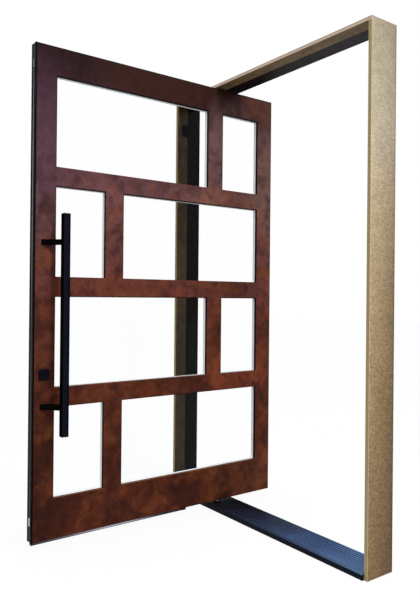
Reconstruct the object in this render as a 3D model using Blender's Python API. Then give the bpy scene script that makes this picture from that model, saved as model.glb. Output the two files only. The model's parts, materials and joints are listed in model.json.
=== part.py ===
# Pivot entry door: a tall glazed leaf on an offset pivot in a flush two-tone frame
# Metres, +Z up, X along the opening, front of the frame towards -Y, leaf open as photographed

import math

import bmesh
import bpy
from mathutils import Vector

for old in list(bpy.data.objects):
    bpy.data.objects.remove(old, do_unlink=True)

# Leaf
LEAF_W = 1.720
LEAF_H = 2.743
LEAF_T = 0.060
LEAF_BOTTOM = 0.055
STILE = 0.126
MULLION = 0.119
NARROW = 0.3045
TOP_RAIL = 0.162
BOTTOM_RAIL = 0.227
RAIL = 0.110
FRONT_REVEAL = 0.013
GLASS_T = 0.024
REAR_BEVEL = 0.023
PIVOT_FRACTION = 0.25

# Frame
SIDE_GAP = 0.010
TOP_GAP = 0.009
JAMB_T = 0.023
HEAD_T = 0.019
FRAME_FRONT = 0.055
FRAME_BACK = 0.140
FRONT_SHARE = 0.44
LINER_T = 0.008
THRESHOLD_H = 0.034
RIB_H = 0.003
RIB_COUNT = 9
NOSE_OUT = 0.012
NOSE_D = 0.020

# Small parts
FIT = 0.0003
EDGE_T = 0.008
EDGE_STRIP_W = 0.018
EDGE_PLATE_H = 0.045
SWEEP_SHARE = 0.593
SWEEP_H = 0.014
SWEEP_T = 0.018
BLOCK_L = 0.030
PULL_L = 1.219
PULL_S = 0.039
PULL_Z = 1.195
POST_INSET = 0.1555
PULL_STAND = 0.081
POST_START = 0.041
POST_S = 0.030
ROSE_S = 0.060
ROSE_T = 0.010
ROSE_Z = 0.918
ROSE_Y = 0.064
SPINDLE_R = 0.012
PLATE_R = 0.030
PLATE_T = 0.005
CONTACT_W = 0.060
CONTACT_H = 0.085
CONTACT_DROP = 0.178

ROW_H = (LEAF_H - TOP_RAIL - BOTTOM_RAIL - 3 * RAIL) / 4
OPENING = LEAF_W + 2 * SIDE_GAP
X_IN = OPENING / 2
X_OUT = X_IN + JAMB_T
PIVOT_X = -X_IN + SIDE_GAP + PIVOT_FRACTION * LEAF_W
LEAF_TOP = LEAF_BOTTOM + LEAF_H
HEAD_Z = LEAF_TOP + TOP_GAP
FRAME_TOP = HEAD_Z + HEAD_T
SPLIT_Y = -FRAME_FRONT + FRONT_SHARE * (FRAME_FRONT + FRAME_BACK)
LOCK_Y = -(1 - PIVOT_FRACTION) * LEAF_W
HEEL_Y = PIVOT_FRACTION * LEAF_W
FACE_X = PIVOT_X + LEAF_T / 2
BACK_X = PIVOT_X - LEAF_T / 2
GLASS_X = FACE_X - FRONT_REVEAL - GLASS_T / 2


def material(name, color, metallic, roughness, transmission=0.0):
    mat = bpy.data.materials.new(name)
    mat.use_nodes = True
    shader = mat.node_tree.nodes["Principled BSDF"]
    shader.inputs["Base Color"].default_value = (*color, 1.0)
    shader.inputs["Metallic"].default_value = metallic
    shader.inputs["Roughness"].default_value = roughness
    shader.inputs["Transmission Weight"].default_value = transmission
    return mat


def mesh_object(name, verts, faces, mat):
    mesh = bpy.data.meshes.new(name)
    mesh.from_pydata([Vector(v) for v in verts], [], faces)
    bm = bmesh.new()
    bm.from_mesh(mesh)
    bmesh.ops.recalc_face_normals(bm, faces=bm.faces)
    bm.to_mesh(mesh)
    bm.free()
    mesh.materials.append(mat)
    obj = bpy.data.objects.new(name, mesh)
    bpy.context.scene.collection.objects.link(obj)
    return obj


def box(name, x0, x1, y0, y1, z0, z1, mat):
    verts = [(x, y, z) for z in (z0, z1) for x, y in ((x0, y0), (x1, y0), (x1, y1), (x0, y1))]
    faces = [(0, 3, 2, 1), (4, 5, 6, 7), (0, 1, 5, 4), (1, 2, 6, 5), (2, 3, 7, 6), (3, 0, 4, 7)]
    return mesh_object(name, verts, faces, mat)


def prism_x(name, profile, x0, x1, mat):
    n = len(profile)
    verts = [(x0, y, z) for y, z in profile] + [(x1, y, z) for y, z in profile]
    faces = [tuple(range(n)), tuple(range(2 * n - 1, n - 1, -1))]
    faces += [(i, (i + 1) % n, n + (i + 1) % n, n + i) for i in range(n)]
    return mesh_object(name, verts, faces, mat)


def prism_z(name, profile, z0, z1, mat):
    n = len(profile)
    verts = [(x, y, z0) for x, y in profile] + [(x, y, z1) for x, y in profile]
    faces = [tuple(range(n)), tuple(range(2 * n - 1, n - 1, -1))]
    faces += [(i, (i + 1) % n, n + (i + 1) % n, n + i) for i in range(n)]
    return mesh_object(name, verts, faces, mat)


def disc(name, x, y, z0, z1, radius, mat, sides=48):
    turn = [2 * math.pi * i / sides for i in range(sides)]
    obj = prism_z(name, [(x + radius * math.cos(a), y + radius * math.sin(a)) for a in turn], z0, z1, mat)
    for poly in obj.data.polygons:
        poly.use_smooth = True
    obj.data.set_sharp_from_angle(angle=math.radians(40))
    return obj


def cut(obj, cutters):
    for cutter in cutters:
        mod = obj.modifiers.new("Cut", "BOOLEAN")
        mod.operation = "DIFFERENCE"
        mod.solver = "EXACT"
        mod.object = cutter


def bevel(obj, width, segments=1):
    mod = obj.modifiers.new("Bevel", "BEVEL")
    mod.width = width
    mod.segments = segments
    mod.limit_method = "ANGLE"
    mod.angle_limit = math.radians(40)


PATINA = material("patina", (0.085, 0.030, 0.020), 0.6, 0.45)
CHAMPAGNE = material("champagne", (0.32, 0.25, 0.16), 0.5, 0.4)
DARK = material("dark_anodised", (0.010, 0.009, 0.008), 0.4, 0.4)
SILL = material("sill_metal", (0.10, 0.12, 0.16), 0.7, 0.35)
NOSE = material("nose_black", (0.010, 0.012, 0.018), 0.3, 0.4)
BLACK = material("black_coat", (0.008, 0.009, 0.012), 0.2, 0.4)
RUBBER = material("rubber", (0.010, 0.010, 0.011), 0.0, 0.7)
STRIP = material("mill_strip", (0.30, 0.30, 0.30), 0.9, 0.35)
STEEL = material("steel", (0.55, 0.56, 0.60), 0.9, 0.25)
GLASS = material("clear_glass", (0.95, 0.97, 0.97), 0.0, 0.02, 1.0)

# Frame: jambs the full height, head and threshold between them. Each is one profile with a step in
# front, and a dark liner fills the step behind
for side, name in ((1, "lock"), (-1, "heel")):
    steps = [(X_IN, -FRAME_FRONT), (X_OUT, -FRAME_FRONT), (X_OUT, FRAME_BACK)]
    steps += [(X_IN + LINER_T, FRAME_BACK), (X_IN + LINER_T, SPLIT_Y), (X_IN, SPLIT_Y)]
    jamb = prism_z(f"jamb_{name}", [(side * x, y) for x, y in steps], 0, FRAME_TOP, CHAMPAGNE)
    bevel(jamb, 0.0010)
    a, b = sorted((side * X_IN, side * (X_IN + LINER_T - FIT)))
    liner = box(f"jamb_{name}_liner", a, b, SPLIT_Y + FIT, FRAME_BACK, 0, FRAME_TOP, DARK)
    bevel(liner, 0.0010)
HEAD_A = -X_IN + FIT
HEAD_B = X_IN - FIT
steps = [(-FRAME_FRONT, HEAD_Z), (-FRAME_FRONT, FRAME_TOP), (FRAME_BACK, FRAME_TOP)]
steps += [(FRAME_BACK, HEAD_Z + LINER_T), (SPLIT_Y, HEAD_Z + LINER_T), (SPLIT_Y, HEAD_Z)]
head = prism_x("head", steps, HEAD_A, HEAD_B, CHAMPAGNE)
bevel(head, 0.0010)
liner = box("head_liner", HEAD_A, HEAD_B, SPLIT_Y + FIT, FRAME_BACK, HEAD_Z, HEAD_Z + LINER_T - FIT, DARK)
bevel(liner, 0.0010)

# Threshold with lengthwise ribs and a nose standing proud of the jambs
nose_back = -FRAME_FRONT - NOSE_OUT + NOSE_D
sill_front = nose_back + FIT
profile = [(sill_front, 0.0), (FRAME_BACK, 0.0)]
pitch = (FRAME_BACK - sill_front) / RIB_COUNT
low = THRESHOLD_H - RIB_H
for i in range(RIB_COUNT):
    y = FRAME_BACK - i * pitch
    profile += [(y, low), (y - 0.20 * pitch, THRESHOLD_H), (y - 0.70 * pitch, THRESHOLD_H)]
    profile += [(y - 0.90 * pitch, low)]
profile += [(sill_front, low)]
threshold = prism_x("threshold", profile, HEAD_A, HEAD_B, SILL)
nose_front = -FRAME_FRONT - NOSE_OUT
nose = [(nose_front, 0.0), (nose_back, 0.0), (nose_back, THRESHOLD_H), (nose_front + 0.006, THRESHOLD_H)]
nose += [(nose_front, THRESHOLD_H - 0.006)]
prism_x("threshold_nose", nose, HEAD_A, HEAD_B, NOSE)

# Pivot set on the frame
disc("pivot_plate_lower", PIVOT_X, 0, THRESHOLD_H + FIT, THRESHOLD_H + PLATE_T, PLATE_R, STEEL)
spindle_z0 = THRESHOLD_H + PLATE_T + FIT
disc("pivot_spindle_lower", PIVOT_X, 0, spindle_z0, LEAF_BOTTOM - FIT, SPINDLE_R, STEEL)
disc("pivot_spindle_upper", PIVOT_X, 0, LEAF_TOP + FIT, HEAD_Z - FIT, SPINDLE_R, STEEL)

# Small dark plate let onto the far jamb near its top
plate_y = SPLIT_Y - 0.020
plate_z = LEAF_TOP - CONTACT_DROP
plate = box("jamb_plate", -X_IN + FIT, -X_IN + FIT + 0.002, plate_y - CONTACT_W / 2, plate_y + CONTACT_W / 2,
            plate_z - CONTACT_H / 2, plate_z + CONTACT_H / 2, BLACK)

# Leaf: rows of one wide and one narrow light, changing sides
rows = []
z = LEAF_TOP - TOP_RAIL
for i in range(4):
    rows.append((z - ROW_H, z))
    z -= ROW_H + RAIL
INNER_A = LOCK_Y + STILE
INNER_B = HEEL_Y - STILE
lights = []
mullions = []
for i, (z0, z1) in enumerate(rows):
    if i % 2 == 0:
        m0 = INNER_B - NARROW - MULLION
    else:
        m0 = INNER_A + NARROW
    mullions.append((m0, m0 + MULLION))
    lights.append((INNER_A, m0, z0, z1))
    lights.append((m0 + MULLION, INNER_B, z0, z1))

# Light cutters: straight to the back of the glass, then opening out to the rear face
cutters = []
for i, (y0, y1, z0, z1) in enumerate(lights):
    xs = (FACE_X + 0.01, FACE_X - FRONT_REVEAL - GLASS_T, BACK_X, BACK_X - 0.01)
    grow = (0.0, 0.0, REAR_BEVEL, REAR_BEVEL + 0.01 * REAR_BEVEL / (xs[1] - xs[2]))
    verts = []
    for x, g in zip(xs, grow):
        verts += [(x, y0 - g, z0 - g), (x, y1 + g, z0 - g), (x, y1 + g, z1 + g), (x, y0 - g, z1 + g)]
    faces = [(0, 1, 2, 3), (15, 14, 13, 12)]
    for k in range(3):
        for j in range(4):
            a = 4 * k + j
            b = 4 * k + (j + 1) % 4
            faces.append((a, b, b + 4, a + 4))
    cutter = mesh_object(f"light_cutter_{i + 1}", verts, faces, PATINA)
    cutter.hide_render = True
    cutter.display_type = "WIRE"
    cutters.append(cutter)

leaf = []
stile_a = box("lock_stile", BACK_X, FACE_X, LOCK_Y + EDGE_T + FIT, INNER_A - FIT, LEAF_BOTTOM, LEAF_TOP, PATINA)
cut(stile_a, [cutters[i] for i in (0, 2, 4, 6)])
stile_b = box("heel_stile", BACK_X, FACE_X, INNER_B + FIT, HEEL_Y, LEAF_BOTTOM, LEAF_TOP, PATINA)
cut(stile_b, [cutters[i] for i in (1, 3, 5, 7)])
leaf += [stile_a, stile_b]
rails = [("top_rail", LEAF_TOP - TOP_RAIL, LEAF_TOP, (0, 1))]
rails += [("rail_upper", rows[1][1], rows[0][0], (0, 1, 2, 3))]
rails += [("rail_middle", rows[2][1], rows[1][0], (2, 3, 4, 5))]
rails += [("rail_lower", rows[3][1], rows[2][0], (4, 5, 6, 7))]
rails += [("bottom_rail", LEAF_BOTTOM, rows[3][0], (6, 7))]
for name, z0, z1, near in rails:
    rail = box(name, BACK_X, FACE_X, INNER_A, INNER_B, z0, z1, PATINA)
    cut(rail, [cutters[i] for i in near])
    leaf.append(rail)
for i, (m0, m1) in enumerate(mullions):
    z0, z1 = rows[i]
    mullion = box(f"mullion_{i + 1}", BACK_X, FACE_X, m0, m1, z0 + FIT, z1 - FIT, PATINA)
    cut(mullion, [cutters[2 * i], cutters[2 * i + 1]])
    leaf.append(mullion)
for i, (y0, y1, z0, z1) in enumerate(lights):
    g = 2 * FIT
    pane = box(f"glass_{i + 1}", GLASS_X - GLASS_T / 2 + FIT, GLASS_X + GLASS_T / 2, y0 + g, y1 - g,
               z0 + g, z1 - g, GLASS)
    leaf.append(pane)

# Lock edge: black channel with a bright strip let in and a plate near each end
edge_y = LOCK_Y + EDGE_T
channel = box("edge_channel", BACK_X, FACE_X, LOCK_Y, edge_y, LEAF_BOTTOM, LEAF_TOP, BLACK)
groove = box("edge_groove_cutter", PIVOT_X - EDGE_STRIP_W / 2, PIVOT_X + EDGE_STRIP_W / 2,
             LOCK_Y - 0.010, LOCK_Y + 0.004, LEAF_BOTTOM - 0.01, LEAF_TOP + 0.01, BLACK)
groove.hide_render = True
groove.display_type = "WIRE"
cut(channel, [groove])
strip_in = EDGE_STRIP_W / 2 - FIT
edge_strip = box("edge_strip", PIVOT_X - strip_in, PIVOT_X + strip_in, LOCK_Y + 0.0015, LOCK_Y + 0.004 - FIT,
                 LEAF_BOTTOM + 0.001, LEAF_TOP - 0.001, STRIP)
leaf += [channel, edge_strip]
for name, zc in (("edge_plate_upper", LEAF_TOP - 0.110), ("edge_plate_lower", LEAF_BOTTOM + 0.110)):
    leaf.append(box(name, PIVOT_X - strip_in + 0.002, PIVOT_X + strip_in - 0.002, LOCK_Y, LOCK_Y + 0.0015 - FIT,
                    zc - EDGE_PLATE_H / 2, zc + EDGE_PLATE_H / 2, STEEL))

# Sweep below the leaf, from the lock edge to a block short of the pivot
sweep_x = FACE_X - 0.004 - SWEEP_T
sweep_end = LOCK_Y + SWEEP_SHARE * LEAF_W
sweep = box("bottom_sweep", sweep_x, sweep_x + SWEEP_T, LOCK_Y, sweep_end - BLOCK_L - FIT,
            LEAF_BOTTOM - SWEEP_H, LEAF_BOTTOM - FIT, RUBBER)
block = box("sweep_block", sweep_x, sweep_x + SWEEP_T, sweep_end - BLOCK_L, sweep_end,
            LEAF_BOTTOM - SWEEP_H, LEAF_BOTTOM - FIT, BLACK)
leaf += [sweep, block]

# Pull: square bar on two posts that reach out and sideways over the glass
bar_x = FACE_X + PULL_STAND
bar_y = LOCK_Y + POST_START + PULL_STAND
bar_z = LEAF_BOTTOM + PULL_Z
post_rise = PULL_L / 2 - POST_INSET
bar = box("pull_bar", bar_x, bar_x + PULL_S, bar_y, bar_y + PULL_S, bar_z - PULL_L / 2, bar_z + PULL_L / 2, BLACK)
bevel(bar, 0.0010)
leaf.append(bar)
half = POST_S / 2
post_plan = [(FACE_X + FIT, LOCK_Y + POST_START + FIT), (bar_x - FIT, bar_y + FIT)]
post_plan += [(bar_x - FIT, bar_y + PULL_S - FIT), (FACE_X + FIT, LOCK_Y + POST_START + PULL_S)]
for name, zc in (("pull_post_upper", bar_z + post_rise), ("pull_post_lower", bar_z - post_rise)):
    leaf.append(prism_z(name, post_plan, zc - half, zc + half, BLACK))

# Square rosette below the pull
rose_y = LOCK_Y + ROSE_Y
rose_z = LEAF_BOTTOM + ROSE_Z
rose = box("lock_rosette", FACE_X + FIT, FACE_X + ROSE_T, rose_y - ROSE_S / 2, rose_y + ROSE_S / 2,
           rose_z - ROSE_S / 2, rose_z + ROSE_S / 2, BLACK)
bevel(rose, 0.0015)
leaf.append(rose)

# The leaf turns about its pivot line
axis = bpy.data.objects.new("leaf_axis", None)
axis.location = (PIVOT_X, 0, LEAF_BOTTOM)
bpy.context.scene.collection.objects.link(axis)
bpy.context.view_layer.update()
for obj in leaf:
    obj.parent = axis
    obj.matrix_parent_inverse = axis.matrix_world.inverted()
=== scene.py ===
# Looks of the pivot entry door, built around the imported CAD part
import json
import math

import bmesh
import bpy
from mathutils import Matrix, Vector

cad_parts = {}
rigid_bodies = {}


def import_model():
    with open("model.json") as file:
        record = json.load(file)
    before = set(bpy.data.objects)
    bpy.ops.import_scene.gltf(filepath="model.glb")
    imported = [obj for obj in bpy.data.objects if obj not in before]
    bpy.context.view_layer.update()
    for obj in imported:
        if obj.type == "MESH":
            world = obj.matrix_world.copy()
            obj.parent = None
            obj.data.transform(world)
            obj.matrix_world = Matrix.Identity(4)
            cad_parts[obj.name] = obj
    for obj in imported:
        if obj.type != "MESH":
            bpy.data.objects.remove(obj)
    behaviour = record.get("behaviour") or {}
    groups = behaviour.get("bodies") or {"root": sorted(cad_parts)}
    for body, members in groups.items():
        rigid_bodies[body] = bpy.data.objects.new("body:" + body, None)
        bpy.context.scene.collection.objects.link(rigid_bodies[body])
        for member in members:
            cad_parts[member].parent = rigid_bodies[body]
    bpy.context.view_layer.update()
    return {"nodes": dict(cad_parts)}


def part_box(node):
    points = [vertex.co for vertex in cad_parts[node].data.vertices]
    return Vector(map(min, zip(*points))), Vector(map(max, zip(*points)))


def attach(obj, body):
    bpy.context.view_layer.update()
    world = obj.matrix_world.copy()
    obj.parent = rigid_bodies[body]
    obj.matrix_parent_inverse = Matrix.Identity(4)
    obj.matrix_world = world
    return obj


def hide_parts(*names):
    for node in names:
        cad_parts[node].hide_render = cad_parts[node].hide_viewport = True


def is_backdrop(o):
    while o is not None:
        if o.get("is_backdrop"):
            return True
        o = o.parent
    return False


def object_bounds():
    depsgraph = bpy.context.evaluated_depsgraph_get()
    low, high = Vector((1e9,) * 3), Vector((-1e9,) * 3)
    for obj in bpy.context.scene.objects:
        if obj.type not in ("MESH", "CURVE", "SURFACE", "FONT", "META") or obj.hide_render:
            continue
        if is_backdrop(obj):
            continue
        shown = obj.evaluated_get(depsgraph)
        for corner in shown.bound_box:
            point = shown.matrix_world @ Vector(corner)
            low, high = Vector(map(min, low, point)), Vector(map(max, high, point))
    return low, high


for old in list(bpy.data.objects):
    bpy.data.objects.remove(old, do_unlink=True)

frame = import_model()
nodes = frame["nodes"]
scene = bpy.context.scene

# Lights, members and places of the CAD part
LIGHT_COUNT = 8
MEMBERS = ["lock_stile", "heel_stile", "top_rail", "rail_upper", "rail_middle", "rail_lower", "bottom_rail"]
MEMBERS += [f"mullion_{i + 1}" for i in range(4)]
LEAF_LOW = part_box("lock_stile")[0]
LEAF_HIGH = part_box("heel_stile")[1]
GLASS_BACK, GLASS_FRONT = (corner.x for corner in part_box("glass_1"))
JAMB_IN, JAMB_OUT = (corner.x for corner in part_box("jamb_lock"))
HEAD_LOW, HEAD_HIGH = (corner.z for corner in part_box("head"))
FRAME_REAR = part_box("threshold")[1].y
RIB_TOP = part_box("threshold")[1].z
NOSE_FRONT, NOSE_BACK = (corner.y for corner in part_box("threshold_nose"))
BAR_LOCK, BAR_HEEL = (corner.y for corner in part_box("pull_bar"))
SWEEP_LOW, SWEEP_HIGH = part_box("bottom_sweep")

# Sizes of the pieces made here, in metres
PANE_GAP = 0.0006
REAR_BEVEL = 0.023
CUTTER_PAST = 0.01
SKIN_ROUND = 0.0012
RIM_WIDTH = 0.0045
LIP_HEIGHT = 0.0045
ROSETTE_ROUND = 0.007

# Inset from the light's edge, and how far the bead stands out from the glass there
BEAD_SECTION = ((0.0003, 0.0003), (0.0003, 0.0022), (0.0012, 0.0022), (0.0022, 0.0003))

# How far behind the rosette's front, and how far in from its outline there
ROSETTE_EDGE = ((0.0025, 0.0), (0.0008, 0.0008), (0.0, 0.0028))

# Places between which the colours change, in metres, some of them for painted light and shade
LEAF_FADE_TOP = 2.8
FRAME_FADE_TOP = 2.83
FRAME_FADE_FRONT = -0.05
RIB_FOOT = RIB_TOP - 0.003
LINER_REAR_BAND = (0.124, 0.128)

# Cloudy places on the leaf: across, up, half width, half height, amount, colour
CLOUDS = (
    (-0.45, 2.74, 0.75, 0.26, 0.80, (52, 28, 21)),
    (-1.25, 2.76, 0.46, 0.54, 0.92, (31, 14, 17)),
    (-1.23, 2.25, 0.24, 0.55, 0.60, (76, 52, 66)),
    (0.05, 2.40, 0.26, 0.40, 0.80, (118, 86, 86)),
    (0.38, 2.25, 0.24, 0.48, 0.65, (116, 86, 78)),
    (0.36, 2.74, 0.30, 0.16, 0.60, (96, 58, 48)),
    (0.0, 1.96, 0.40, 0.24, 0.72, (130, 86, 72)),
    (0.12, 0.90, 0.30, 0.22, 0.80, (140, 70, 46)),
    (0.22, 0.18, 0.40, 0.20, 0.45, (108, 60, 40)),
    (-1.22, 0.40, 0.28, 0.48, 0.72, (54, 26, 20)),
)

# Camera fitted to the photo: turns in degrees, place in metres, focal length and centre in its pixels
YAW, PITCH, ROLL = 53.1616, 0.1747, 0.5398
CAMERA_PLACE = (2.9092, -2.5145, 1.4128)
PHOTO_W, PHOTO_H = 420, 600
FOCAL_PX, CENTRE_X, CENTRE_Y = 620.1708, 217.3488, 294.717
SENSOR_MM = 36

# Floor, sky and key light
FLOOR_SIZE = 60
FLOOR_WHITE = 0.92
WHITE = (1, 1, 1, 1)
SKY_LOW = (0.62, 0.61, 0.60, 1)
SKY_HIGH = (1.0, 1.03, 1.10, 1)
SKY_HIGH_FROM = 0.7
KEY_PLACE = (5.1, -0.21, 4.6)
KEY_AIM = (-0.39, -1.2, 1.5)
KEY_SIZE = 0.8
KEY_WATTS = 190


# Node helpers
def srgb(color):
    return tuple((c / 255 / 12.92) if c <= 10 else ((c / 255 + 0.055) / 1.055) ** 2.4 for c in color)


class Tree:
    def __init__(self, name):
        self.mat = bpy.data.materials.new(name)
        self.mat.use_nodes = True
        self.nodes = self.mat.node_tree.nodes
        self.links = self.mat.node_tree.links
        self.shader = self.nodes["Principled BSDF"]
        self.surface = self.nodes["Material Output"].inputs["Surface"]
        self.coord = self.nodes.new("ShaderNodeTexCoord").outputs["Object"]

    def new(self, kind, **settings):
        node = self.nodes.new(kind)
        for key, value in settings.items():
            setattr(node, key, value)
        return node

    def put(self, socket, value):
        if isinstance(value, bpy.types.NodeSocket):
            self.links.new(value, socket)
        else:
            socket.default_value = value

    def mapped(self, scale=(1, 1, 1), move=(0, 0, 0)):
        node = self.new("ShaderNodeMapping")
        self.put(node.inputs["Vector"], self.coord)
        node.inputs["Scale"].default_value = scale
        node.inputs["Location"].default_value = move
        return node.outputs["Vector"]

    def noise(self, scale, detail=4.0, rough=0.55, warp=0.0, vector=None):
        node = self.new("ShaderNodeTexNoise")
        self.put(node.inputs["Vector"], vector or self.coord)
        node.inputs["Scale"].default_value = scale
        node.inputs["Detail"].default_value = detail
        node.inputs["Roughness"].default_value = rough
        node.inputs["Distortion"].default_value = warp
        return node.outputs["Fac"]

    # A stop is a place with three sRGB numbers, or with one number for a factor
    def ramp(self, value, stops):
        node = self.new("ShaderNodeValToRGB")
        self.put(node.inputs["Fac"], value)
        items = node.color_ramp.elements
        for i, (place, color) in enumerate(stops):
            item = items[i] if i < 2 else items.new(place)
            item.position = place
            item.color = (*srgb(color), 1) if len(color) == 3 else (color[0],) * 3 + (1,)
        return node.outputs["Color"]

    def span(self, value, low, high, to_low=0.0, to_high=1.0):
        node = self.new("ShaderNodeMapRange")
        self.put(node.inputs["Value"], value)
        node.inputs["From Min"].default_value = low
        node.inputs["From Max"].default_value = high
        node.inputs["To Min"].default_value = to_low
        node.inputs["To Max"].default_value = to_high
        return node.outputs["Result"]

    # Noise lies mostly between 0.3 and 0.7, and this spreads it from low to high
    def spread(self, noise, low, high):
        return self.span(noise, 0.3, 0.7, low, high)

    def mix(self, fac, a, b, blend="MIX"):
        node = self.new("ShaderNodeMix", data_type="RGBA", blend_type=blend)
        self.put(node.inputs[0], fac)
        for socket, value in ((node.inputs[6], a), (node.inputs[7], b)):
            self.put(socket, (*srgb(value), 1) if isinstance(value, tuple) else value)
        return node.outputs[2]

    def shaded(self, color, value, stops):
        return self.mix(1.0, color, self.ramp(value, stops), "MULTIPLY")

    def mottled(self, color, noise, low, high):
        return self.shaded(color, noise, [(0.3, (low,)), (0.7, (high,))])

    def math(self, op, a, b=0.0):
        node = self.new("ShaderNodeMath", operation=op)
        self.put(node.inputs[0], a)
        self.put(node.inputs[1], b)
        return node.outputs[0]

    def axis(self, letter):
        node = self.new("ShaderNodeSeparateXYZ")
        self.put(node.inputs[0], self.coord)
        return node.outputs[letter]

    def normal(self, letter):
        node = self.new("ShaderNodeSeparateXYZ")
        self.put(node.inputs[0], self.new("ShaderNodeTexCoord").outputs["Normal"])
        return node.outputs[letter]

    # Rises from 0 to the amount as a face turns to that side of an axis
    def turned(self, normal, side, amount=1.0):
        return self.span(normal, side * 0.5, side * 0.8, 0.0, amount)

    def attribute(self, name):
        return self.new("ShaderNodeAttribute", attribute_name=name).outputs["Fac"]

    def bump(self, value, distance, strength=1.0, under=None):
        node = self.new("ShaderNodeBump")
        self.put(node.inputs["Height"], value)
        node.inputs["Distance"].default_value = distance
        node.inputs["Strength"].default_value = strength
        if under is not None:
            self.put(node.inputs["Normal"], under)
        return node.outputs["Normal"]

    def finish(self, color, roughness, metallic, specular, normal):
        self.put(self.shader.inputs["Base Color"], color)
        self.put(self.shader.inputs["Roughness"], roughness)
        self.shader.inputs["Metallic"].default_value = metallic
        self.shader.inputs["Specular IOR Level"].default_value = specular
        self.put(self.shader.inputs["Normal"], normal)
        return self.mat

    def finish_coat(self, color, grain, scale, rough):
        roughness = self.spread(self.noise(scale, 3), *rough)
        return self.finish(color, roughness, 0.0, 0.03, self.bump(grain, 0.0003, 0.4))

    def finish_metal(self, color, brushed, rough, metallic, specular, depth=0.0002, strength=0.4):
        roughness = self.spread(brushed, *rough)
        return self.finish(color, roughness, metallic, specular, self.bump(brushed, depth, strength))

    def finish_mixed(self, fac, first, second):
        node = self.new("ShaderNodeMixShader")
        self.put(node.inputs[0], fac)
        self.put(node.inputs[1], first.outputs[0])
        self.put(node.inputs[2], second.outputs[0])
        self.put(self.surface, node.outputs[0])
        return self.mat


# Materials
def patina():
    t = Tree("patina_brown")
    up = t.axis("Z")
    place = t.mapped(move=(3.1, 5.7, 2.3))
    cloud = t.noise(2.4, 4, 0.60, 0.5, place)
    blotch = t.noise(8, 4, 0.55, 0.45, place)
    patch = t.noise(19, 3, 0.55, 0.3, place)
    grain = t.noise(150, 2, 0.6, 0.0, place)

    # Colour by height, with a painted purple-grey sheen between about 1.9 and 2.5 metres up, and the cloudy
    # places over it
    high = t.math("ADD", up, t.spread(cloud, -0.20, 0.20))
    color = t.ramp(t.span(high, 0.0, LEAF_FADE_TOP), [
        (0.00, (78, 37, 23)), (0.18, (82, 40, 26)), (0.34, (88, 43, 30)), (0.52, (98, 52, 43)),
        (0.70, (98, 63, 63)), (0.82, (82, 54, 59)), (0.92, (54, 31, 35)), (1.00, (42, 24, 24))])
    for y, z, wide, tall, amount, tint in CLOUDS:
        spot = t.new("ShaderNodeTexGradient", gradient_type="SPHERICAL")
        t.put(spot.inputs["Vector"], t.mapped((0, 1 / wide, 1 / tall), (0, -y / wide, -z / tall)))
        mask = t.math("MULTIPLY", spot.outputs["Fac"], t.span(blotch, 0.25, 0.65, 0.4, 1.0))
        color = t.mix(t.span(mask, 0.0, 0.45, 0.0, amount), color, tint)

    # Rusty and dark blotches and patches, all weaker high up, then grain and each member's tone
    warm = t.math("MULTIPLY", t.span(blotch, 0.50, 0.68, 0.0, 0.75), t.span(up, 2.55, 1.6, 0.06, 1.0))
    color = t.mix(warm, color, (112, 60, 34))
    dark = t.math("MULTIPLY", t.span(blotch, 0.50, 0.34, 0.0, 0.70), t.span(up, 2.6, 1.9, 0.30, 1.0))
    color = t.mix(dark, color, (50, 26, 22))
    strong = t.shaded(color, patch, [(0.32, (0.76,)), (0.50, (1.0,)), (0.70, (1.28,))])
    soft = t.shaded(color, patch, [(0.32, (0.86,)), (0.70, (1.14,))])
    color = t.mottled(t.mix(t.span(up, 1.8, 2.5), strong, soft), grain, 0.84, 1.16)
    color = t.shaded(color, t.attribute("tone"), [(0.0, (0.93,)), (1.0, (1.05,))])

    # Painted shade makes faces turned to the lock side or down dark, painted light makes those turned up
    # pale, and the rim is dark
    color = t.mix(t.turned(t.normal("Y"), -1, 0.86), color, (8, 5, 6))
    color = t.mix(t.turned(t.normal("Z"), -1, 0.90), color, (7, 4, 4))
    color = t.mix(t.turned(t.normal("Z"), 1, 0.55), color, (176, 120, 92))
    arris = t.mix(t.span(up, 1.7, 2.4), (36, 16, 9), (16, 6, 5))
    color = t.mix(t.math("MULTIPLY", t.attribute("rim"), 0.86), color, arris)
    bumps = t.bump(grain, 0.0006, 0.5, t.bump(t.noise(14, 3), 0.004, 0.35))
    return t.finish(color, t.spread(blotch, 0.44, 0.62), 0.35, 0.05, bumps)


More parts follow.
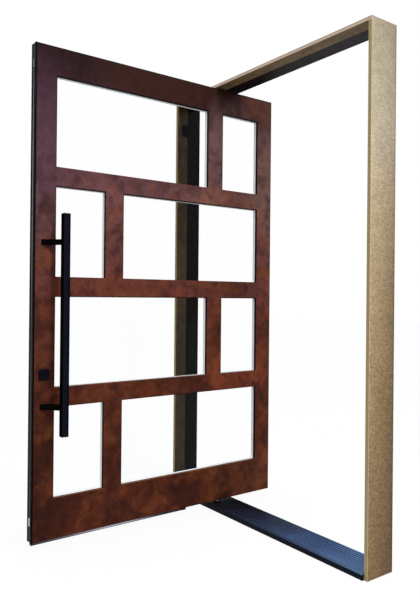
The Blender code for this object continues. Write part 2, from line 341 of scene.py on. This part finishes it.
def champagne():
    t = Tree("champagne_metal")
    speck = t.noise(115, 4, 0.68)
    wave = t.noise(60, 4, 0.62, 0.4, t.mapped((1, 1, 1.6), (2, 5, 1)))
    cloud = t.noise(9, 4, 0.6)
    high = t.span(t.axis("Z"), 0.0, FRAME_FADE_TOP)

    # Outer sides: painted light makes them paler upwards, mottled with olive, and painted shade makes them
    # darker towards the rear
    pale = t.ramp(high, [
        (0.0, (140, 112, 80)), (0.15, (150, 122, 90)), (0.35, (164, 136, 102)), (0.48, (170, 144, 110)),
        (0.65, (184, 161, 132)), (0.80, (188, 172, 152)), (0.93, (172, 158, 136)), (1.0, (164, 150, 128))])
    olive = t.ramp(high, [
        (0.0, (118, 96, 62)), (0.35, (140, 118, 82)), (0.65, (164, 146, 110)), (0.85, (168, 158, 128)),
        (1.0, (150, 142, 114))])
    color = t.mix(t.span(wave, 0.42, 0.60), pale, olive)
    deep = t.span(t.axis("Y"), FRAME_FADE_FRONT, FRAME_REAR)
    strong = t.ramp(deep, [
        (0.0, (1.16,)), (0.04, (1.08,)), (0.50, (0.84,)), (0.92, (0.58,)), (0.96, (0.40,))])
    mild = t.ramp(deep, [
        (0.0, (1.08,)), (0.04, (1.00,)), (0.50, (0.92,)), (0.92, (0.76,)), (0.96, (0.60,))])
    color = t.mix(1.0, color, t.mix(t.span(high, 0.5, 0.85), strong, mild), "MULTIPLY")

    # Front faces: bands across the jambs, and a paler lintel
    front = t.ramp(t.span(t.math("ABSOLUTE", t.axis("X")), JAMB_IN, JAMB_OUT), [
        (0.0, (196, 170, 116)), (0.16, (192, 168, 118)), (0.22, (166, 147, 100)), (0.48, (178, 160, 116)),
        (0.72, (172, 152, 106)), (0.80, (156, 138, 94)), (0.90, (204, 192, 162)), (1.0, (210, 200, 172))])
    lintel = t.ramp(t.span(t.axis("Z"), HEAD_LOW, HEAD_HIGH), [
        (0.0, (196, 172, 144)), (0.25, (222, 202, 180)), (0.70, (216, 192, 166)), (0.82, (166, 136, 108)),
        (1.0, (158, 128, 102))])
    seam = 0.001
    front = t.mix(t.span(t.axis("Z"), HEAD_LOW - seam, HEAD_LOW + seam), front, lintel)

    # Painted shade on the faces turned to the doorway, darkest towards the heel jamb, and on the head's
    # underside
    inner = t.ramp(t.noise(22, 4, 0.6, 0.3), [
        (0.30, (58, 47, 29)), (0.50, (82, 68, 46)), (0.70, (98, 84, 60))])
    inner = t.mix(t.span(t.axis("X"), 0.0, -0.8, 0.0, 0.30), inner, (20, 15, 9))
    outward = t.math("MULTIPLY", t.normal("X"), t.math("SIGN", t.axis("X")))
    color = t.mix(t.turned(outward, -1), color, inner)
    under = t.ramp(t.noise(16, 4, 0.6, 0.3), [
        (0.30, (98, 80, 50)), (0.50, (120, 97, 63)), (0.70, (136, 112, 76))])
    color = t.mix(t.turned(t.normal("Z"), -1), color, under)

    # Speckle, stronger low down and faint on the front faces, and painted shade on the far jamb's front
    bold = t.shaded(color, speck, [(0.32, (0.58,)), (0.50, (1.0,)), (0.68, (1.40,))])
    light = t.shaded(color, speck, [(0.32, (0.74,)), (0.68, (1.24,))])
    color = t.mottled(t.mix(high, bold, light), cloud, 0.90, 1.07)
    front = t.shaded(front, speck, [(0.32, (0.90,)), (0.68, (1.08,))])
    front = t.mix(t.span(t.axis("X"), 0.03 - JAMB_IN, -JAMB_IN, 0.0, 0.35), front, (52, 46, 30))
    color = t.mix(t.turned(t.normal("Y"), -1), color, front)
    return t.finish(color, 0.5, 0.2, 0.08, t.bump(t.noise(500, 2), 0.0003, 0.4))


# Dark, with painted light making it greyer towards the lock side and painted shade making it darker towards
# the heel side, and nearly black in a band at the rear
def dark_liner():
    t = Tree("dark_anodised_liner")
    streak = t.noise(5, 4, 0.6, 0, t.mapped((8, 8, 0.6)))
    color = t.ramp(streak, [(0.3, (14, 11, 10)), (0.7, (26, 21, 19))])
    color = t.mix(t.span(t.axis("X"), -0.3, -0.8, 0.0, 0.6), color, (3, 2, 2))
    color = t.mix(t.span(t.axis("X"), 0.1, JAMB_IN), color, (66, 60, 64))
    color = t.mix(t.span(t.axis("Y"), *LINER_REAR_BAND), color, (5, 4, 5))
    return t.finish(color, t.spread(streak, 0.40, 0.55), 0.0, 0.03, t.bump(t.noise(300, 2), 0.0003, 0.3))


def black_coat(name="black_powder_coat", tint=(1.0, 1.1, 1.3)):
    t = Tree(name)
    grain = t.noise(600, 2, 0.6)
    color = t.ramp(grain, [(0.3, tuple(c * 0.7 for c in tint)), (0.7, tuple(c * 1.3 for c in tint))])
    return t.finish_coat(color, grain, 20, (0.42, 0.55))


# Black at both sides of the bar, and a slightly paler blue-black between
def pull_coat():
    t = Tree("pull_black_coat")
    grain = t.noise(500, 2, 0.6)
    color = t.ramp(t.span(t.axis("Y"), BAR_LOCK, BAR_HEEL), [
        (0.0, (1, 1, 1)), (0.05, (1, 1, 2)), (0.10, (13, 16, 27)), (0.74, (12, 15, 24)), (0.82, (1, 1, 2)),
        (1.0, (1, 1, 1))])
    return t.finish_coat(t.mottled(color, grain, 0.75, 1.25), grain, 16, (0.40, 0.52))


def rubber():
    t = Tree("seal_rubber")
    grain = t.noise(260, 3, 0.6)
    color = t.ramp(grain, [(0.3, (7, 7, 9)), (0.7, (18, 19, 23))])
    return t.finish(color, 0.7, 0.0, 0.05, t.bump(grain, 0.0004, 0.5))


# A painted sky reflection makes it bluer and paler towards the lock side, and painted shade makes it dark
# between the ribs and, under the leaf, towards the rear
def sill_metal():
    t = Tree("sill_anodised_with_painted_sheen")
    brushed = t.noise(30, 4, 0.6, 0, t.mapped((0.35, 12, 12)))
    broad = t.noise(5, 3, 0.6, 0.3)
    along = t.span(t.math("ADD", t.axis("X"), t.spread(broad, -0.12, 0.12)), -JAMB_IN, JAMB_IN)
    crest = t.ramp(along, [
        (0.0, (30, 28, 28)), (0.28, (26, 26, 32)), (0.42, (34, 40, 56)), (0.62, (50, 68, 102)),
        (0.80, (72, 100, 146)), (1.0, (104, 138, 184))])
    groove = t.ramp(along, [
        (0.0, (11, 10, 10)), (0.28, (11, 11, 14)), (0.42, (14, 16, 24)), (0.62, (20, 30, 52)),
        (0.80, (26, 42, 72)), (1.0, (38, 60, 96))])
    color = t.mix(t.span(t.axis("Z"), RIB_FOOT, RIB_TOP), groove, crest)
    # Painted shadow of the leaf: darker towards the rear and lighter towards the front on the heel side
    deep = t.span(t.axis("Y"), FRAME_REAR, NOSE_FRONT)
    shade = t.shaded(color, deep, [(0.0, (0.50,)), (0.6, (1.15,)), (1.0, (1.30,))])
    color = t.mix(t.span(t.axis("X"), 0.25, -0.25), color, shade)
    color = t.mottled(color, brushed, 0.84, 1.14)
    return t.finish_metal(color, brushed, (0.34, 0.50), 0.25, 0.04, 0.0003)


# Dark front, and a top with two bands of painted groove shade, which a painted sky reflection makes paler
# and bluer towards the lock side
def nose_coat():
    t = Tree("nose_coat")
    grain = t.noise(600, 2, 0.6)
    front = t.ramp(grain, [(0.3, (17, 20, 27)), (0.7, (27, 33, 43))])
    top = t.ramp(t.span(t.axis("X"), -JAMB_IN, JAMB_IN), [
        (0.0, (22, 20, 20)), (0.28, (30, 32, 38)), (0.42, (38, 44, 58)), (0.62, (52, 66, 92)),
        (0.80, (70, 92, 128)), (1.0, (96, 124, 162))])
    top = t.shaded(top, t.span(t.axis("Y"), NOSE_FRONT, NOSE_BACK), [
        (0.0, (1.05,)), (0.34, (1.05,)), (0.42, (0.42,)), (0.50, (0.42,)), (0.58, (1.0,)), (0.80, (1.0,)),
        (0.88, (0.42,)), (1.0, (0.42,))])
    color = t.mix(t.span(t.normal("Z"), 0.3, 0.9), front, top)
    return t.finish_coat(color, grain, 20, (0.42, 0.55))


def mill_metal(name, light, metallic=0.5):
    t = Tree(name)
    brushed = t.noise(40, 4, 0.6, 0, t.mapped((14, 14, 0.5)))
    broad = t.noise(2.2, 3, 0.6, 0, t.mapped(move=(4, 1, 2)))
    color = t.ramp(brushed, [(0.3, tuple(c * 0.8 for c in light)), (0.7, light)])
    color = t.shaded(color, broad, [(0.35, (0.35,)), (0.6, (1.0,))])
    return t.finish_metal(color, brushed, (0.30, 0.48), metallic, 0.3)


# Dark low down, pale in most of its upper half
def strip_metal():
    t = Tree("edge_strip_metal")
    brushed = t.noise(40, 4, 0.6, 0, t.mapped((14, 14, 0.5)))
    color = t.ramp(t.span(t.axis("Z"), 0.0, LEAF_FADE_TOP), [
        (0.0, (42, 42, 42)), (0.30, (46, 46, 47)), (0.46, (66, 66, 70)), (0.58, (118, 118, 122)),
        (0.80, (136, 134, 138)), (0.90, (104, 104, 108)), (1.0, (56, 56, 60))])
    return t.finish_metal(t.mottled(color, brushed, 0.72, 1.15), brushed, (0.34, 0.50), 0.2, 0.2)


def spacer_metal():
    t = Tree("spacer_metal")
    brushed = t.noise(60, 3, 0.6)
    color = t.ramp(brushed, [(0.3, (250, 250, 251)), (0.7, (254, 254, 254))])
    return t.finish_metal(color, brushed, (0.34, 0.46), 0.0, 0.3, 0.0001, 0.3)


# A painted reflection makes the sweep bright in the middle and dark towards its ends
def sweep_metal():
    t = Tree("sweep_aluminium")
    brushed = t.noise(30, 4, 0.6, 0, t.mapped((12, 0.4, 12)))
    color = t.ramp(t.span(t.axis("Y"), SWEEP_LOW.y, SWEEP_HIGH.y), [
        (0.0, (44, 50, 60)), (0.22, (108, 112, 124)), (0.45, (196, 196, 214)), (0.60, (186, 186, 204)),
        (0.80, (66, 68, 78)), (1.0, (24, 26, 32))])
    return t.finish_metal(t.mottled(color, brushed, 0.82, 1.12), brushed, (0.30, 0.45), 0.4, 0.2)


# Clear, with a weak reflection from its outer faces
def clear_glass():
    t = Tree("clear_glass_pane")
    clear = t.new("ShaderNodeBsdfTransparent")
    clear.inputs["Color"].default_value = (0.997, 0.999, 0.998, 1)
    gloss = t.new("ShaderNodeBsdfGlossy")
    t.put(gloss.inputs["Roughness"], t.spread(t.noise(3, 3, 0.5), 0.01, 0.03))
    fresnel = t.new("ShaderNodeFresnel")
    fresnel.inputs["IOR"].default_value = 1.45
    weak = t.math("MULTIPLY", fresnel.outputs[0], 0.3)
    outer = t.math("SUBTRACT", 1.0, t.new("ShaderNodeNewGeometry").outputs["Backfacing"])
    return t.finish_mixed(t.math("MULTIPLY", weak, outer), clear, gloss)


PATINA = patina()
CHAMPAGNE = champagne()
LINER = dark_liner()
BLACK = black_coat()
NOSE = nose_coat()
RUBBER = rubber()
SILL = sill_metal()
STRIP = strip_metal()
STEEL = mill_metal("pivot_steel", (196, 204, 226))
PLATE = mill_metal("edge_plate_metal", (168, 170, 178), 0.3)
PULL = pull_coat()
ROSETTE = black_coat("rosette_coat", (11, 13, 19))
SPACER = spacer_metal()
ALUMINIUM = sweep_metal()
GLASS = clear_glass()


# Shape helpers
def round_edges(obj, width, segments, angle):
    mod = obj.modifiers.new("Edge", "BEVEL")
    mod.width = width
    mod.segments = segments
    mod.limit_method = "ANGLE"
    mod.angle_limit = math.radians(angle)


def new_object(name, data):
    obj = bpy.data.objects.new(name, data)
    scene.collection.objects.link(obj)
    return obj


def new_mesh(name, bm):
    bmesh.ops.recalc_face_normals(bm, faces=bm.faces)
    mesh = bpy.data.meshes.new(name)
    bm.to_mesh(mesh)
    bm.free()
    return mesh


def new_piece(name, bm, mat, body, slot, *replaced):
    mesh = new_mesh(name, bm)
    mesh.materials.append(mat)
    obj = new_object(name, mesh)
    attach(obj, body)
    if replaced:
        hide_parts(*replaced)


def rectangle(x, rect, inset=0.0):
    y0, y1, z0, z1 = rect
    a, b, c, d = y0 + inset, y1 - inset, z0 + inset, z1 - inset
    return [(x, a, c), (x, b, c), (x, b, d), (x, a, d)]


def join(bm, near, far):
    for j in range(len(near)):
        k = (j + 1) % len(near)
        bm.faces.new((near[j], near[k], far[k], far[j]))


# A closed solid through rings with equal numbers of corners
def loft(rings):
    bm = bmesh.new()
    loops = [[bm.verts.new(corner) for corner in ring] for ring in rings]
    bm.faces.new(loops[0])
    bm.faces.new(reversed(loops[-1]))
    for near, far in zip(loops, loops[1:]):
        join(bm, near, far)
    return bm


# A closed hoop inside a light, with its section given by inset and x
def hoop(bm, rect, section):
    loops = [[bm.verts.new(corner) for corner in rectangle(x, rect, inset)] for inset, x in section]
    for near, far in zip(loops, loops[1:] + loops[:1]):
        join(bm, near, far)


def extruded(profile, y0, y1):
    return loft([[(x, y, z) for x, z in profile] for y in (y0, y1)])


# CAD nodes that show as they are: name, material, width of the softened edges
DRESSED = [
    ("jamb_lock", CHAMPAGNE, 0), ("jamb_heel", CHAMPAGNE, 0), ("head", CHAMPAGNE, 0),
    ("jamb_lock_liner", LINER, 0), ("jamb_heel_liner", LINER, 0), ("head_liner", LINER, 0),
    ("threshold", SILL, 0), ("threshold_nose", NOSE, 0.0008),
    ("jamb_plate", BLACK, 0.0005), ("pivot_plate_lower", BLACK, 0.0006),
    ("pivot_spindle_lower", STEEL, 0.0006), ("pivot_spindle_upper", STEEL, 0.0006),
    ("edge_channel", BLACK, 0.0008), ("edge_strip", STRIP, 0.0003),
    # The lower edge plate takes the near-white spacer finish as a painted glint
    ("edge_plate_upper", PLATE, 0.0003), ("edge_plate_lower", SPACER, 0.0003),
    ("sweep_block", BLACK, 0.0008), ("pull_bar", PULL, 0),
    ("pull_post_upper", BLACK, 0.0008), ("pull_post_lower", BLACK, 0.0008)]
DRESSED += [(f"glass_{i + 1}", GLASS, 0) for i in range(LIGHT_COUNT)]
for name, mat, edge in DRESSED:
    nodes[name].data.materials.clear()
    nodes[name].data.materials.append(mat)
    if edge:
        round_edges(nodes[name], edge, 2, 40)

# The openings of the lights: low and high across, low and high up
lights = []
for i in range(LIGHT_COUNT):
    low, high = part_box(f"glass_{i + 1}")
    lights.append((low.y - PANE_GAP, high.y + PANE_GAP, low.z - PANE_GAP, high.z + PANE_GAP))


# One continuous leaf skin in place of the stiles, rails and mullions
def leaf_skin():
    outline = (LEAF_LOW.y, LEAF_HIGH.y, LEAF_LOW.z, LEAF_HIGH.z)
    slab = new_mesh("leaf_skin", loft([rectangle(x, outline) for x in (LEAF_LOW.x, LEAF_HIGH.x)]))
    slab.materials.append(PATINA)
    skin = new_object("leaf_skin", slab)
    skin.data = cut_lights(skin)
    mark_tones(skin.data)
    round_edges(skin, SKIN_ROUND, 3, 30)
    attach(skin, "leaf")
    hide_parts(*MEMBERS)


# Each light is cut straight from the front to the back of its glass, and widens behind it
def cut_lights(skin):
    past_rear = REAR_BEVEL * (1 + CUTTER_PAST / (GLASS_BACK - LEAF_LOW.x))
    steps = (
        (LEAF_HIGH.x + CUTTER_PAST, 0.0), (GLASS_BACK, 0.0), (LEAF_LOW.x, REAR_BEVEL),
        (LEAF_LOW.x - CUTTER_PAST, past_rear))
    cutters = []
    for i, rect in enumerate(lights):
        bm = loft([rectangle(x, rect, -grow) for x, grow in steps])
        cutter = new_object(f"light_cutter_{i + 1}", new_mesh(f"light_cutter_{i + 1}", bm))
        mod = skin.modifiers.new(f"Light {i + 1}", "BOOLEAN")
        mod.operation = "DIFFERENCE"
        mod.solver = "EXACT"
        mod.object = cutter
        cutters.append(cutter)
    bpy.context.view_layer.update()
    mesh = bpy.data.meshes.new_from_object(skin.evaluated_get(bpy.context.evaluated_depsgraph_get()))
    skin.modifiers.clear()
    for cutter in cutters:
        bpy.data.objects.remove(cutter, do_unlink=True)
    return mesh


# Each member gets its own tone, and the front face its dark rim
def mark_tones(mesh):
    near = 0.004
    tone_step = 0.618
    boxes = [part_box(name) for name in MEMBERS]
    bm = bmesh.new()
    bm.from_mesh(mesh)
    cuts = {("y", LEAF_HIGH.y - RIM_WIDTH), ("z", LEAF_HIGH.z - RIM_WIDTH)}
    for y0, y1, z0, z1 in lights:
        cuts |= {("y", y0), ("y", y0 - RIM_WIDTH), ("y", y1), ("z", z0), ("z", z1), ("z", z1 + RIM_WIDTH)}
    for letter, place in sorted(cuts):
        across = Vector((0, 1, 0) if letter == "y" else (0, 0, 1))
        geometry = bm.verts[:] + bm.edges[:] + bm.faces[:]
        bmesh.ops.bisect_plane(bm, geom=geometry, dist=1e-5, plane_co=across * place, plane_no=across)
    tone = bm.faces.layers.float.new("tone")
    rim = bm.faces.layers.float.new("rim")
    for face in bm.faces:
        mid = face.calc_center_median()
        for i, (low, high) in enumerate(boxes):
            if low.y - near < mid.y < high.y + near and low.z - near < mid.z < high.z + near:
                face[tone] = (i * tone_step) % 1.0
                break
        if face.normal.x > 0.9:
            face[rim] = float(on_rim(mid))
    bm.to_mesh(mesh)
    bm.free()


# The rim runs along the leaf's top and heel edges, and above each light and on its lock side
def on_rim(mid):
    if mid.z > LEAF_HIGH.z - RIM_WIDTH or mid.y > LEAF_HIGH.y - RIM_WIDTH:
        return True
    for y0, y1, z0, z1 in lights:
        beside = y0 - RIM_WIDTH < mid.y < y0 and z0 < mid.z < z1
        above = z1 < mid.z < z1 + RIM_WIDTH and y0 - RIM_WIDTH < mid.y < y1
        if beside or above:
            return True
    return False


# Rubber beads round the glass, on both faces
def glazing_beads():
    bm = bmesh.new()
    for rect in lights:
        for side, plane in ((1, GLASS_FRONT), (-1, GLASS_BACK)):
            hoop(bm, rect, [(inset, plane + side * proud) for inset, proud in BEAD_SECTION])
    new_piece("glazing_beads", bm, RUBBER, "leaf", "rubber")


# Bright spacer inside each sealed pane, against the edge of the light
def pane_spacers():
    from_back, from_front = 0.001, 0.005
    outer, inner = 0.0009, 0.0019
    back, front = GLASS_BACK + from_back, GLASS_FRONT - from_front
    bm = bmesh.new()
    for rect in lights:
        hoop(bm, rect, [(outer, back), (outer, front), (inner, front), (inner, back)])
    new_piece("pane_spacers", bm, SPACER, "leaf", "mill_strip")


# Sweep: an aluminium carrier, stepped back at its top, with a black lip below it
def sweep():
    back, front, foot, top = SWEEP_LOW.x, SWEEP_HIGH.x, SWEEP_LOW.z, SWEEP_HIGH.z
    step_in, step_foot, step_end = 0.001, 0.0022, 0.0030
    carrier = [
        (back, top), (front - step_in, top), (front - step_in, top - step_foot),
        (front, top - step_end), (front, foot + LIP_HEIGHT), (back, foot + LIP_HEIGHT)]
    bm = extruded(carrier, SWEEP_LOW.y, SWEEP_HIGH.y)
    new_piece("sweep_carrier", bm, ALUMINIUM, "leaf", "mill_strip", "bottom_sweep")
    lip_back, lip_front, lip_round, lip_short = back + 0.004, front - 0.0015, 0.001, 0.001
    lip = [
        (lip_back, foot + LIP_HEIGHT), (lip_front, foot + LIP_HEIGHT), (lip_front, foot + lip_round),
        (lip_front - 0.0015, foot), (lip_back + lip_round, foot)]
    bm = extruded(lip, SWEEP_LOW.y + lip_short, SWEEP_HIGH.y - lip_short)
    new_piece("sweep_lip", bm, RUBBER, "leaf", "rubber", "bottom_sweep")


# Lock rosette with rounded corners and a softened front edge
def rosette_plate():
    corner_steps = 6
    low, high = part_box("lock_rosette")
    mid = (low + high) / 2
    reach = (high.y - low.y) / 2 - ROSETTE_ROUND
    rings = []
    for x, inset in [(low.x, 0.0)] + [(high.x - behind, inset) for behind, inset in ROSETTE_EDGE]:
        ring = []
        for side, rise, start in ((1, 1, 0), (-1, 1, 90), (-1, -1, 180), (1, -1, 270)):
            for step in range(corner_steps + 1):
                a = math.radians(start + step * 90 / corner_steps)
                y = mid.y + side * reach + (ROSETTE_ROUND - inset) * math.cos(a)
                z = mid.z + rise * reach + (ROSETTE_ROUND - inset) * math.sin(a)
                ring.append((x, y, z))
        rings.append(ring)
    new_piece("rosette_plate", loft(rings), ROSETTE, "leaf", "black_coat", "lock_rosette")


leaf_skin()
glazing_beads()
pane_spacers()
sweep()
rosette_plate()


# Floor: nearly white where it is seen, with a faint shadow, and a dull grey in the light it gives back
def floor_pale():
    t = Tree("floor_pale")
    white = t.new("ShaderNodeEmission")
    white.inputs["Color"].default_value = WHITE
    white.inputs["Strength"].default_value = 1.0
    soft = t.new("ShaderNodeBsdfDiffuse")
    paths = t.new("ShaderNodeLightPath").outputs
    pale = t.ramp(t.noise(3, 3), [(0.3, (0.88,)), (0.7, (0.92,))])
    dull = t.ramp(t.noise(3, 3), [(0.3, (0.38,)), (0.7, (0.42,))])
    t.put(soft.inputs["Color"], t.mix(paths["Is Camera Ray"], dull, pale))
    seen = t.math("MAXIMUM", paths["Is Camera Ray"], paths["Is Glossy Ray"])
    seen = t.math("MAXIMUM", seen, paths["Is Transmission Ray"])
    return t.finish_mixed(t.math("MULTIPLY", seen, FLOOR_WHITE), soft, white)


bpy.ops.mesh.primitive_plane_add(size=FLOOR_SIZE, location=(0, 0, 0))
floor = bpy.context.object
floor.name = "floor"
floor.data.materials.append(floor_pale())
floor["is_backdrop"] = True


# World: a soft sky that lights the object, and plain white where the camera sees it
def studio_world():
    world = bpy.data.worlds.new("studio")
    world.use_nodes = True
    tree = world.node_tree
    paths = tree.nodes.new("ShaderNodeLightPath")
    split = tree.nodes.new("ShaderNodeSeparateXYZ")
    ramp = tree.nodes.new("ShaderNodeValToRGB")
    tree.links.new(tree.nodes.new("ShaderNodeTexCoord").outputs["Generated"], split.inputs[0])
    tree.links.new(split.outputs["Z"], ramp.inputs["Fac"])
    ramp.color_ramp.elements[0].color = SKY_LOW
    ramp.color_ramp.elements[1].position = SKY_HIGH_FROM
    ramp.color_ramp.elements[1].color = SKY_HIGH
    seen = tree.nodes.new("ShaderNodeMath")
    seen.operation = "MAXIMUM"
    tree.links.new(paths.outputs["Is Camera Ray"], seen.inputs[0])
    tree.links.new(paths.outputs["Is Transmission Ray"], seen.inputs[1])
    mix = tree.nodes.new("ShaderNodeMix")
    mix.data_type = "RGBA"
    mix.inputs[7].default_value = WHITE
    tree.links.new(seen.outputs[0], mix.inputs[0])
    tree.links.new(ramp.outputs["Color"], mix.inputs[6])
    tree.links.new(mix.outputs[2], tree.nodes["Background"].inputs["Color"])
    return world


# Key light: one lamp high up in front of the leaf
def key_light():
    data = bpy.data.lights.new("key", "AREA")
    data.shape = "RECTANGLE"
    data.size = KEY_SIZE
    data.size_y = KEY_SIZE
    data.energy = KEY_WATTS
    lamp = new_object("key", data)
    lamp.location = KEY_PLACE
    lamp.rotation_euler = (Vector(KEY_AIM) - Vector(KEY_PLACE)).to_track_quat("-Z", "Y").to_euler()


# Camera
def photo_camera():
    yaw, pitch, roll = (math.radians(angle) for angle in (YAW, PITCH, ROLL))
    forward = Vector((-math.sin(yaw) * math.cos(pitch), math.cos(yaw) * math.cos(pitch), math.sin(pitch)))
    level = Vector((math.cos(yaw), math.sin(yaw), 0))
    upright = level.cross(forward)
    right = level * math.cos(roll) + upright * math.sin(roll)
    up = upright * math.cos(roll) - level * math.sin(roll)
    data = bpy.data.cameras.new("camera")
    data.sensor_width = SENSOR_MM
    data.lens = FOCAL_PX * SENSOR_MM / PHOTO_H
    data.shift_x = (PHOTO_W / 2 - CENTRE_X) / PHOTO_H
    data.shift_y = (CENTRE_Y - PHOTO_H / 2) / PHOTO_H
    camera = new_object("camera", data)
    turn = Matrix((right, up, -forward)).transposed()
    camera.matrix_world = Matrix.Translation(CAMERA_PLACE) @ turn.to_4x4()
    return camera


key_light()
scene.world = studio_world()
scene.camera = photo_camera()
scene.view_settings.view_transform = "Standard"

low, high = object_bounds()
